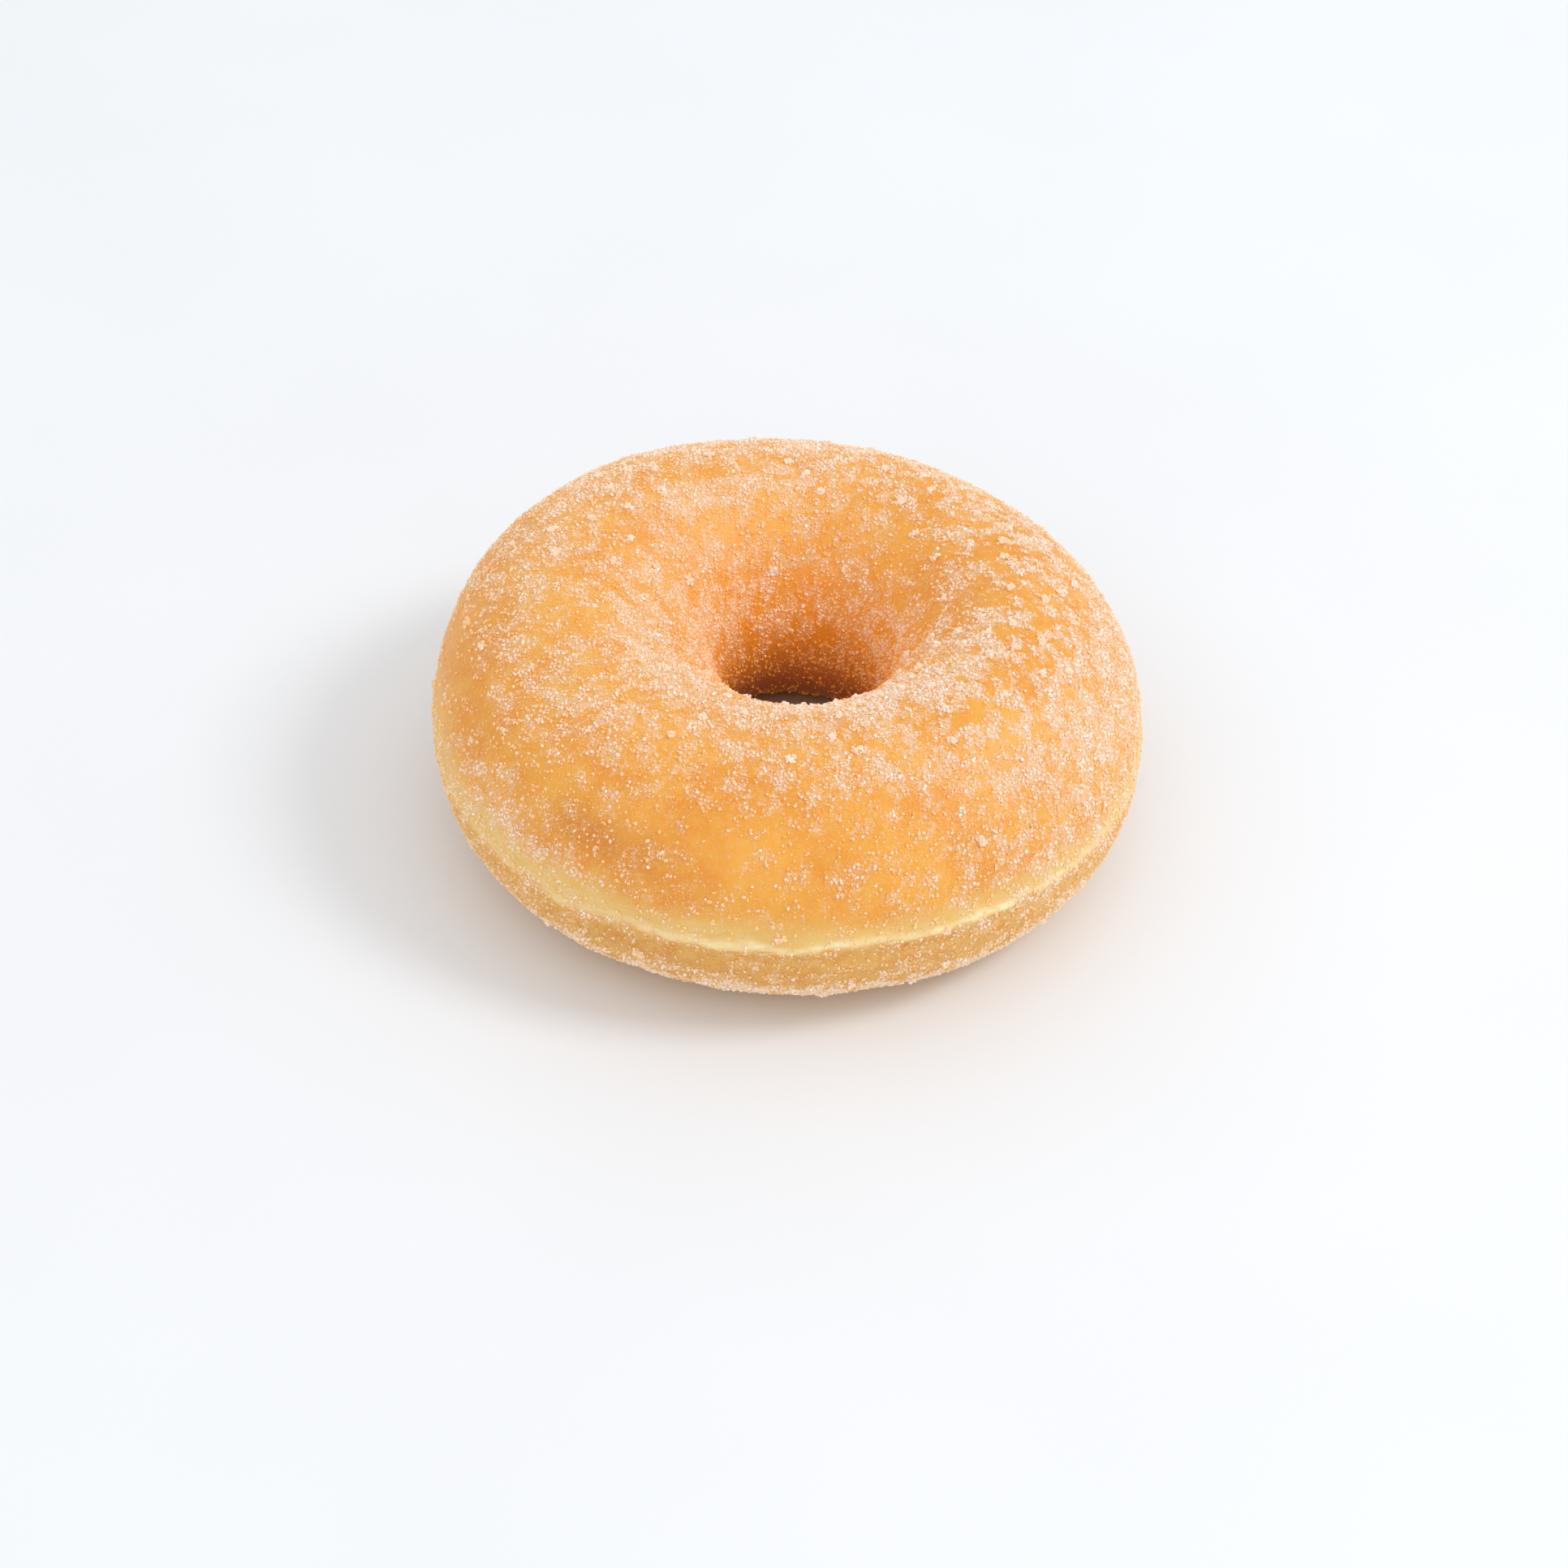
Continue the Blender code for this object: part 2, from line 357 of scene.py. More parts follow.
@dataclass(frozen=True)
class SugarCoat:
    """How thick and how clumped the coat of sugar lies over the ring."""

    base: float = 0.42
    patches: tuple[Patch, ...] = (
        Patch(-58, 114, 52, 19, 0.43),
        Patch(-74, 82, 10, 8, -0.08),
        Patch(-52, 104, 20, 9, 0.12),
        Patch(-52, 62, 20, 12, 0.10),
        Patch(-52, -6, 22, 8, 0.14),
        Patch(75, 70, 60, 17, 0.20),
        Patch(118, 72, 55, 15, 0.14),
        Patch(-8, 42, 34, 27, 0.24),
        Patch(-150, 124, 46, 17, 0.15),
        Patch(-148, 110, 22, 14, 0.34),
        Patch(82, 96, 24, 10, 0.12),
        Patch(116, 109, 30, 9, 0.30),
        Patch(118, 92, 20, 8, -0.26),
        Patch(165, 150, 24, 16, 0.24),
        Patch(160, 84, 18, 10, 0.14),
        Patch(-12, 74, 16, 12, -0.08),
        Patch(-45, 45, 26, 14, 0.09),
        Patch(-138, 24, 18, 12, 0.04),
        Patch(-40, 8, 24, 14, 0.20),
        Patch(-85, -30, 95, 10, 0.20),
        Patch(-85, -8, 85, 8, -0.20),
        Patch(-142, 12, 26, 14, 0.18),
        Patch(-101, 42, 38, 22, -0.39),
        Patch(-86, 24, 32, 11, -0.18),
        Patch(-165, 40, 25, 14, -0.24),
        Patch(-165, 91, 30, 14, -0.12),
        Patch(38, 124, 46, 16, -0.15),
        Patch(12, 98, 20, 12, -0.18),
        Patch(-40, 82, 14, 10, -0.15),
        Patch(-85, 9, 70, 9, -0.24),
        Patch(-178, 20, 24, 18, -0.42),
        Patch(90, 162, 100, 24, 0.34),
        Patch(70, 165, 24, 20, -0.20),
        Patch(90, -135, 720, 28, -0.60),
    )
    clumped_base: float = 0.25
    clumped: tuple[Patch, ...] = (
        Patch(-15, 84, 62, 32, 0.75),
        Patch(55, 80, 40, 26, 0.30),
        Patch(90, 160, 90, 24, 0.25),
        Patch(-130, 70, 40, 24, 0.20),
        Patch(-75, -30, 85, 11, 0.70),
        Patch(90, -26, 90, 14, 0.40),
    )
    swells: tuple[Swell, ...] = (
        Swell(2.6 * MM, 0.40, 3.7),
        Swell(1.2 * MM, 0.34, 9.1),
        Swell(0.6 * MM, 0.30, 6.4),
    )
    rarity: float = 2.9
    heap_edge: float = 0.30
    coat_edge: tuple[float, float] = (1.5, 0.8)
    coat_share: tuple[float, float] = (0.42, 0.90)
    strays: float = 0.30
    lowest: float = 0.9 * MM
    clear_of_rest: float = 2.2 * MM
    thinnest: float = 0.03

    def cover(self, azimuth: np.ndarray, section: np.ndarray) -> np.ndarray:
        """Share of the surface that sugar covers."""
        return np.clip(self.base + patched(self.patches, azimuth, section), self.thinnest, 1.0)

    def unevenness(self, points: np.ndarray) -> np.ndarray:
        """How much more sugar than usual lies at each place, with a usual swing of one."""
        swell = swelling(self.swells, points)
        return (swell - swell.mean()) / swell.std()

    def lay(
        self, azimuth: np.ndarray, section: np.ndarray, points: np.ndarray
    ) -> tuple[np.ndarray, np.ndarray]:
        """Chance of a grain at each place.

        Args:
            azimuth: azimuth of each place.
            section: section angle of each place.
            points: the places themselves.

        Returns:
            Two numbers from 0 to 1 for each place: for the even coat of small grains, and for
            the coarse grains that lie in heaps.
        """
        cover = self.cover(azimuth, section)
        clumped = np.clip(self.clumped_base + patched(self.clumped, azimuth, section), 0.0, 1.0)
        surplus = self.unevenness(points) - self.rarity * (HALF - cover)
        coat_edge = self.coat_edge[0] + (self.coat_edge[1] - self.coat_edge[0]) * clumped
        coat_share = self.coat_share[0] + (self.coat_share[1] - self.coat_share[0]) * clumped
        coat_heaps = np.clip(HALF + HALF * surplus / coat_edge, 0.0, 1.0)
        heaps = np.clip(HALF + HALF * surplus / self.heap_edge, 0.0, 1.0)
        resting = np.clip((points[:, 2] - self.lowest) / self.clear_of_rest, 0.0, 1.0)
        coat = cover * (1.0 - coat_share) + coat_heaps * coat_share
        coarse = self.strays * cover * (1.0 - clumped) + heaps * clumped
        return coat * resting, coarse * resting


@dataclass(frozen=True)
class Clumping:
    """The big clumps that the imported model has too, found by the same rule and the same draws."""

    count: int = 132
    wide: tuple[float, float] = (0.70 * MM, 1.20 * MM)
    tall: tuple[float, float] = (0.42 * MM, 0.62 * MM)
    gap: float = 2.7 * MM
    lift: float = 0.08 * MM
    seed: int = 7
    lowest: float = math.radians(-44.0)
    deepest: float = math.radians(150.0)
    plastic: float = 1.32471795724
    trials: int = 6000
    sides: int = 4
    side_section: float = math.radians(8.0)
    crown_section: float = math.radians(89.0)
    slimmest: float = 0.8
    seed_step: int = 1000
    base: float = 0.02
    patches: tuple[Patch, ...] = (
        Patch(-48.0, 118.0, 62.0, 24.0, 0.95),
        Patch(-8.0, 88.0, 46.0, 24.0, 0.75),
        Patch(38.0, 74.0, 40.0, 26.0, 0.60),
        Patch(-172.0, 78.0, 40.0, 28.0, 0.35),
        Patch(118.0, 74.0, 58.0, 30.0, 0.40),
        Patch(-92.0, 90.0, 40.0, 16.0, 0.25),
        Patch(-30.0, 42.0, 28.0, 20.0, 0.30),
        Patch(-75.0, -28.0, 80.0, 12.0, 0.50),
        Patch(90.0, -20.0, 95.0, 20.0, 0.30),
    )

    def cover(self, azimuth: float, section: float) -> float:
        """Chance of a clump at a place.

        Args:
            azimuth: azimuth of the place.
            section: section angle of the place.

        Returns:
            A chance from 0 to 1.
        """
        bare = 1.0 - self.base
        for patch in self.patches:
            bare *= 1.0 - float(patch.at(np.array([azimuth]), np.array([section]))[0])
        return 1.0 - bare

    def places(self, form: RingForm) -> list[tuple[float, float]]:
        """Where the clumps lie.

        Args:
            form: the ring that they lie on.

        Returns:
            Azimuth and section angle of each clump.
        """
        draw = random.Random(self.seed)
        trials = [(side * math.tau / self.sides, self.side_section) for side in range(self.sides)]
        trials.append((math.radians(form.crown.terms[1][2]) + math.pi, self.crown_section))
        for index in range(1, self.trials):
            across = (index / self.plastic) % 1.0
            upward = (index / self.plastic**2) % 1.0
            azimuth = (2.0 * across - 1.0) * math.pi
            section = self.lowest + (self.deepest - self.lowest) * upward
            if draw.random() < self.cover(azimuth, section):
                trials.append((azimuth, section))
        chosen: list[tuple[float, float]] = []
        points: list[np.ndarray] = []
        for azimuth, section in trials:
            point = form.smooth(np.array([azimuth]), np.array([section]))[0]
            if all(np.linalg.norm(point - other) > self.gap for other in points):
                chosen.append((azimuth, section))
                points.append(point)
            if len(chosen) == self.count:
                break
        return chosen


# ---------------------------------------------------------------- shader and node helpers


def find_socket(sockets: bpy.types.bpy_prop_collection, key: str | int) -> bpy.types.NodeSocket:
    """Finds a socket.

    Args:
        sockets: a node's inputs or outputs.
        key: the socket's place, name or identifier.

    Returns:
        The first socket in use that fits.
    """
    if isinstance(key, int):
        return sockets[key]
    named = [socket for socket in sockets if socket.name == key and socket.enabled]
    return named[0] if named else next(socket for socket in sockets if socket.identifier == key)


class Wire:
    """A node's output, on which sums can be written as on a number."""

    def __init__(self, desk: Desk, node: bpy.types.Node, key: str | int = 0) -> None:
        """Wraps one output of a node.

        Args:
            desk: the desk that the node lies on.
            node: the node.
            key: the output's place, name or identifier.
        """
        self.desk = desk
        self.node = node
        self.socket = find_socket(node.outputs, key)

    def out(self, key: str | int) -> Wire:
        """Another output of the same node."""
        return Wire(self.desk, self.node, key)

    def _math(self, operation: str, first: Wire | float, second: Wire | float) -> Wire:
        """Adds one Math node."""
        return self.desk.node("ShaderNodeMath", {"operation": operation}, {0: first, 1: second})

    def __add__(self, other: Wire | float) -> Wire:
        """Sum."""
        return self._math("ADD", self, other)

    __radd__ = __add__

    def __sub__(self, other: Wire | float) -> Wire:
        """Difference."""
        return self._math("SUBTRACT", self, other)

    def __rsub__(self, other: Wire | float) -> Wire:
        """Reflected difference."""
        return self._math("SUBTRACT", other, self)

    def __mul__(self, other: Wire | float) -> Wire:
        """Product."""
        return self._math("MULTIPLY", self, other)

    __rmul__ = __mul__

    def ramp(self, low: float, high: float) -> Wire:
        """A soft step.

        Args:
            low: the value at which it is still 0.
            high: the value at which it is 1.

        Returns:
            The stepped value.
        """
        settings = {"interpolation_type": "SMOOTHSTEP"}
        inputs = {"Value": self, "From Min": low, "From Max": high}
        return self.desk.node("ShaderNodeMapRange", settings, inputs)


class Desk:
    """A node tree being filled in."""

    def __init__(self, tree: bpy.types.NodeTree) -> None:
        """Starts on an empty tree."""
        self.tree = tree
        tree.nodes.clear()

    def node(
        self,
        kind: str,
        settings: dict[str, Any] | None = None,
        inputs: dict[str | int, Any] | None = None,
    ) -> Wire | None:
        """Adds a node.

        Args:
            kind: the node's type name.
            settings: its properties, set before its sockets are filled.
            inputs: values or wires by socket name, identifier or place.

        Returns:
            The node's first output, if it has one.
        """
        node = self.tree.nodes.new(kind)
        for name, value in (settings or {}).items():
            setattr(node, name, value)
        for key, value in (inputs or {}).items():
            socket = find_socket(node.inputs, key)
            if isinstance(value, Wire):
                self.tree.links.new(value.socket, socket)
            else:
                socket.default_value = value
        if not node.outputs:
            return None
        return Wire(self, node, next(s.identifier for s in node.outputs if s.enabled))

    def attribute(self, name: str) -> Wire:
        """A number stored on the mesh."""
        return self.node("ShaderNodeAttribute", {"attribute_name": name}).out("Fac")

    def noise(self, size: float, detail: float, roughness: float) -> Wire:
        """Noise whose swells are of a real size.

        Args:
            size: how far apart the swells are.
            detail: how many finer sizes are mixed in.
            roughness: how strong the finer sizes are.

        Returns:
            A number from 0 to 1.
        """
        place = self.node("ShaderNodeTexCoord").out("Object")
        inputs = {"Vector": place, "Scale": 1.0 / size, "Detail": detail, "Roughness": roughness}
        return self.node("ShaderNodeTexNoise", None, inputs)

    def cells(self, size: float) -> Wire:
        """Distance to the nearest of scattered points, in cell sizes."""
        place = self.node("ShaderNodeTexCoord").out("Object")
        return self.node("ShaderNodeTexVoronoi", None, {"Vector": place, "Scale": 1.0 / size})

    def blend(self, factor: Wire | float, first: Wire | Colour, second: Wire | Colour) -> Wire:
        """Mixes two colours."""
        inputs = {"Factor_Float": factor, "A_Color": shown(first), "B_Color": shown(second)}
        return self.node("ShaderNodeMix", {"data_type": "RGBA"}, inputs).out("Result_Color")

    def bump(self, height: Wire, distance: float, strength: float) -> Wire:
        """Turns a height between 0 and 1 into a tilt of the surface."""
        inputs = {"Height": height, "Distance": distance, "Strength": strength}
        return self.node("ShaderNodeBump", None, inputs)

    def shade(self, inputs: dict[str, Any]) -> None:
        """Ends a material in one surface shader with these inputs."""
        shader = self.node("ShaderNodeBsdfPrincipled", None, inputs)
        self.node("ShaderNodeOutputMaterial", None, {"Surface": shader})


def new_material(name: str) -> tuple[bpy.types.Material, Desk]:
    """Starts a material. A faint glow in it lights nothing by itself.

    Args:
        name: the material's name.

    Returns:
        The material, and the desk on which its nodes are laid.
    """
    material = bpy.data.materials.new(name)
    material.use_nodes = True
    material.cycles.emission_sampling = "NONE"
    return material, Desk(material.node_tree)


@dataclass(frozen=True)
class Colour:
    """A colour as seen on a screen, from 0 to 255 a channel."""

    red: float
    green: float
    blue: float

    def linear(self) -> tuple[float, float, float, float]:
        """The same colour in light, as a socket takes it.

        Returns:
            Red, green, blue and a full alpha, from 0 to 1.
        """

        def channel(value: float) -> float:
            """One channel from screen to light, by the usual curve of screens."""
            share = value / FULL_CHANNEL
            return share / 12.92 if share <= 0.04045 else ((share + 0.055) / 1.055) ** 2.4

        return (channel(self.red), channel(self.green), channel(self.blue), 1.0)


BLACK = Colour(0, 0, 0)


def shown(colour: Wire | Colour) -> Wire | tuple[float, float, float, float]:
    """A colour as a socket takes it."""
    return colour.linear() if isinstance(colour, Colour) else colour


# ---------------------------------------------------------------- finishes


@dataclass(frozen=True)
class Spots:
    """Soft spots of a real size in a finish.

    Attributes:
        size: how far apart they are.
        detail: how many finer sizes are mixed in.
        roughness: how strong the finer sizes are.
        edge: the noise at which a spot begins and at which it is full.
    """

    size: float
    detail: float = 2.0
    roughness: float = 0.5
    edge: tuple[float, float] = (0.32, 0.68)

    def noise(self, desk: Desk) -> Wire:
        """The noise that the spots are cut from."""
        return desk.noise(self.size, self.detail, self.roughness)

    def on(self, desk: Desk) -> Wire:
        """The spots, from nothing to one."""
        return self.noise(desk).ramp(*self.edge)


@dataclass(frozen=True)
class CrustFinish:
    """Fried crust: golden above, pale at the waist, tan below, under a film of fine sugar, with painted
    warm shade and a faint painted glow in the hole and painted shade at its foot.
    """

    golden: Colour = Colour(240, 167, 56)
    deep: Colour = Colour(232, 149, 38)
    # Painted warm shade: the crust in the hole is painted a deeper orange for the light that bounces about
    # inside it.
    hole: Colour = Colour(243, 154, 38)
    glow: Colour = Colour(255, 150, 34)
    glow_share: float = 0.04
    # Brown of the brown spots, also used as painted shade at the foot of the hole.
    brown_and_hole_shade: Colour = Colour(176, 84, 16)
    light: Colour = Colour(242, 192, 92)
    pale: Colour = Colour(237, 199, 120)
    pale_warm: Colour = Colour(232, 179, 86)
    torn: Colour = Colour(252, 236, 188)
    tan: Colour = Colour(230, 181, 93)
    tan_deep: Colour = Colour(222, 158, 61)
    film: Colour = Colour(241, 217, 188)
    # Painted warm shade: the sugar film is painted warmer under the band, on the band and in the hole.
    film_in_warm_shade: Colour = Colour(240, 196, 128)
    film_cover: float = 0.60
    film_edge: tuple[float, float] = (0.10, 0.95)
    film_thinner_in_hole: float = 0.25
    warm_shade_below: float = 0.7
    warm_shade_on_band: float = 0.4
    cloud: Spots = Spots(9.0 * MM, 3.0)
    mottle: Spots = Spots(2.0 * MM, 3.0, 0.6, (0.32, 0.72))
    mottled_top: float = 0.28
    mottled_band: float = 0.6
    hole_shade_share: float = 0.8
    grain: Spots = Spots(0.36 * MM, 2.0, 0.6)
    grain_weight: float = 1.9
    speck: Spots = Spots(0.20 * MM, 1.0)
    speck_weight: float = 1.6
    pore_size: float = 0.8 * MM
    pore_edge: tuple[float, float] = (0.0, 0.55)
    pore_share: float = 0.35
    bump_height: float = 0.07 * MM
    bump_strength: float = 0.8
    gloss: float = 0.40
    duller_mottle: float = 0.12
    duller_film: float = 0.15
    refraction: float = 1.45
    subsurface: float = 0.22
    scatter: tuple[float, float, float] = (3.2 * MM, 1.3 * MM, 0.5 * MM)

    def make(self) -> bpy.types.Material:
        """Mixes the finish.

        Returns:
            The material.
        """
        material, desk = new_material("crust")
        mottle = self.mottle.on(desk)
        film = self.film_of(desk)
        pores = desk.cells(self.pore_size).ramp(*self.pore_edge)
        # The film's painted warm shade: warmer under the band, on the band and in the hole.
        lower = desk.attribute("under") * self.warm_shade_below + desk.attribute("band") * self.warm_shade_on_band
        powder = desk.blend(desk.attribute("deep") + lower, self.film, self.film_in_warm_shade)
        relief = pores * self.pore_share + film * (1.0 - self.pore_share)
        inputs = {
            "Base Color": desk.blend(film * self.film_cover, self.dough_colour(desk, mottle), powder),
            "Roughness": self.gloss + mottle * self.duller_mottle + film * self.duller_film,
            "IOR": self.refraction,
            "Subsurface Weight": self.subsurface,
            "Subsurface Radius": tuple(reach / self.scatter[0] for reach in self.scatter),
            "Subsurface Scale": self.scatter[0],
            "Emission Color": desk.blend(desk.attribute("glowing") * self.glow_share, BLACK, self.glow),
            "Emission Strength": 1.0,
            "Normal": desk.bump(relief, self.bump_height, self.bump_strength),
        }
        desk.shade(inputs)
        return material

    def film_of(self, desk: Desk) -> Wire:
        """How much of the finest sugar lies at each place.

        Args:
            desk: the material's desk.

        Returns:
            A share from 0 to 1.
        """
        grain = (self.grain.noise(desk) - HALF) * self.grain_weight
        speck = (self.speck.noise(desk) - HALF) * self.speck_weight
        laid = desk.attribute("coat") - desk.attribute("deep") * self.film_thinner_in_hole
        return (laid + grain + speck).ramp(*self.film_edge)

    def dough_colour(self, desk: Desk, mottle: Wire) -> Wire:
        """Colour of the bare dough.

        Args:
            desk: the material's desk.
            mottle: the finish's small spots.

        Returns:
            The colour.
        """
        colour = desk.blend(self.cloud.on(desk), self.golden, self.deep)
        colour = desk.blend(mottle * self.mottled_top, colour, self.light)
        colour = desk.blend(desk.attribute("lightened"), colour, self.light)
        # Painted warm shade in the hole.
        colour = desk.blend(desk.attribute("deep") * self.hole_shade_share, colour, self.hole)
        under = desk.blend(mottle, self.tan, self.tan_deep)
        colour = desk.blend(desk.attribute("under"), colour, under)
        # Brown spots, and painted shade at the foot of the hole.
        colour = desk.blend(desk.attribute("brown_spots_and_hole_shade"), colour, self.brown_and_hole_shade)
        band = desk.blend(mottle * self.mottled_band, self.pale, self.pale_warm)
        colour = desk.blend(desk.attribute("band"), colour, band)
        return desk.blend(desk.attribute("ridge"), colour, self.torn)


@dataclass(frozen=True)
class SugarFinish:
    """Clear white sugar with painted light: facets that face away from the crust are white, and the
    crust's colour is painted on the rest for the crust's light seen through the grain, with painted glints
    and a faint painted glow.
    """

    white: Colour = Colour(236, 229, 221)
    cream: Colour = Colour(234, 216, 197)
    glint: Colour = Colour(252, 247, 243)
    on_golden: Colour = Colour(241, 185, 96)
    # The crust's colours, painted on the grains for the crust's light seen through clear sugar; in_hole
    # also paints the hole's warm shade.
    on_pale: Colour = Colour(240, 206, 136)
    on_tan: Colour = Colour(234, 181, 97)
    in_hole: Colour = Colour(250, 178, 82)
    shine_through: float = 0.62
    in_hole_too: float = 0.70
    on_band_too: float = 0.35
    below_too: float = 0.20
    by_grain: float = 0.40
    by_facet: float = 0.75
    lone_coat: tuple[float, float] = (0.15, 0.90)
    glint_edge: tuple[float, float] = (0.90, 0.96)
    foot_crust: float = 0.35
    foot_crust_more: float = 0.5
    top_facing: tuple[float, float] = (-0.2, 0.8)
    glow: float = 0.20
    glow_lost_in_hole: float = 0.8
    glow_lost_on_top: float = 0.6
    glow_in_hole: float = 0.10
    gloss: float = 0.12
    duller_tint: float = 0.2
    refraction: float = 1.54

    def make(self) -> bpy.types.Material:
        """Mixes the finish.

        Returns:
            The material.
        """
        material, desk = new_material("sugar")
        tint = desk.attribute("tint")
        facet = desk.attribute("facet")
        deep = desk.attribute("deep")
        band = desk.attribute("band")
        under = desk.attribute("under")
        crust = desk.blend(under, self.on_golden, self.on_tan)
        crust = desk.blend(band, crust, self.on_pale)
        crust = desk.blend(deep, crust, self.in_hole)
        alone = 1.0 - desk.attribute("coat").ramp(*self.lone_coat)
        sugar = desk.blend(tint, self.white, self.cream)
        # Painted light: lone grains and grains on and below the band show the crust's colour as if seen
        # through them; grains in the hole take its painted warm shade.
        place = alone * self.shine_through + deep * self.in_hole_too + band * self.on_band_too
        chance = (tint - HALF) * self.by_grain + (facet - HALF) * self.by_facet
        top = desk.blend(place + under * self.below_too + chance, sugar, crust)
        glint = (1.0 - facet).ramp(*self.glint_edge) * (1.0 - deep) * (1.0 - alone)
        top = desk.blend(glint, top, self.glint)
        # Painted light: facets facing away from the crust are white, the rest take the crust's colour, for
        # the light that comes up through the grain.
        foot = desk.blend(self.foot_crust + (alone + deep) * self.foot_crust_more, sugar, crust)
        upward = desk.attribute("facing").ramp(*self.top_facing)
        glow = (1.0 - deep * self.glow_lost_in_hole) * self.glow
        glow = glow + desk.attribute("glowing") * self.glow_in_hole
        inputs = {
            "Base Color": desk.blend(upward, foot, top),
            "Roughness": self.gloss + tint * self.duller_tint,
            "IOR": self.refraction,
            "Emission Color": desk.blend((1.0 - upward * self.glow_lost_on_top) * glow, BLACK, foot),
            "Emission Strength": 1.0,
        }
        desk.shade(inputs)
        return material


@dataclass(frozen=True)
class FloorFinish:
    """A plain pale table top with a faint unevenness."""

    pale: Colour = Colour(236, 239, 243)
    paler: Colour = Colour(240, 243, 247)
    clouds: Spots = Spots(60.0 * MM, edge=(0.0, 1.0))
    roughness: float = 0.55

    def make(self) -> bpy.types.Material:
        """Mixes the finish.

        Returns:
            The material.
        """
        material, desk = new_material("floor")
        inputs = {
            "Base Color": desk.blend(self.clouds.on(desk), self.pale, self.paler),
            "Roughness": self.roughness,
        }
        desk.shade(inputs)
        return material


# ---------------------------------------------------------------- mesh helpers


def deselect_all() -> None:
    """Leaves nothing selected, so that an operator acts on the new piece alone."""
    if bpy.context.mode != "OBJECT":
        bpy.ops.object.mode_set(mode="OBJECT")
    bpy.ops.object.select_all(action="DESELECT")


def read_points(mesh: bpy.types.Mesh) -> np.ndarray:
    """Where the mesh's points are.

    Args:
        mesh: the mesh.

    Returns:
        Rows of x, y, z.
    """
    points = np.empty(len(mesh.vertices) * 3, np.float32)
    mesh.vertices.foreach_get("co", points)
    return points.reshape(-1, 3).astype(float)


def write_points(mesh: bpy.types.Mesh, points: np.ndarray) -> None:
    """Moves the mesh's points."""
    mesh.vertices.foreach_set("co", points.astype(np.float32).ravel())
    mesh.update()


def trim(mesh: bpy.types.Mesh) -> None:
    """Keeps the mesh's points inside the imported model's box."""
    write_points(mesh, np.clip(read_points(mesh), np.array(cad_box[0]), np.array(cad_box[1])))


def write_numbers(mesh: bpy.types.Mesh, name: str, values: np.ndarray, domain: str = "POINT") -> None:
    """Stores a number at each point or face of the mesh."""
    attribute = mesh.attributes.new(name, "FLOAT", domain)
    attribute.data.foreach_set("value", values.astype(np.float32))


def write_directions(mesh: bpy.types.Mesh, name: str, values: np.ndarray) -> None:
    """Stores a direction at each point of the mesh."""
    attribute = mesh.attributes.new(name, "FLOAT_VECTOR", "POINT")
    attribute.data.foreach_set("vector", values.astype(np.float32).ravel())


def mark_facets(mesh: bpy.types.Mesh, seed: int) -> None:
    """Stores on each facet of the grains how squarely it faces away from the crust, and a draw.

    Args:
        mesh: grains that hold the crust's outward direction at each point.
        seed: seed of the draws.
    """
    count = len(mesh.polygons)
    facing = np.empty(count * 3, np.float32)
    mesh.polygons.foreach_get("normal", facing)
    first = np.empty(count, np.int32)
    mesh.polygons.foreach_get("loop_start", first)
    corners = np.empty(len(mesh.loops), np.int32)
    mesh.loops.foreach_get("vertex_index", corners)
    outward = np.empty(len(mesh.vertices) * 3, np.float32)
    mesh.attributes["outward"].data.foreach_get("vector", outward)
    outward = outward.reshape(-1, 3)[corners[first]]
    mesh.attributes.remove(mesh.attributes["outward"])
    write_numbers(mesh, "facing", (facing.reshape(-1, 3) * outward).sum(axis=1), "FACE")
    write_numbers(mesh, "facet", np.random.default_rng(seed).random(count), "FACE")


# ---------------------------------------------------------------- the dough


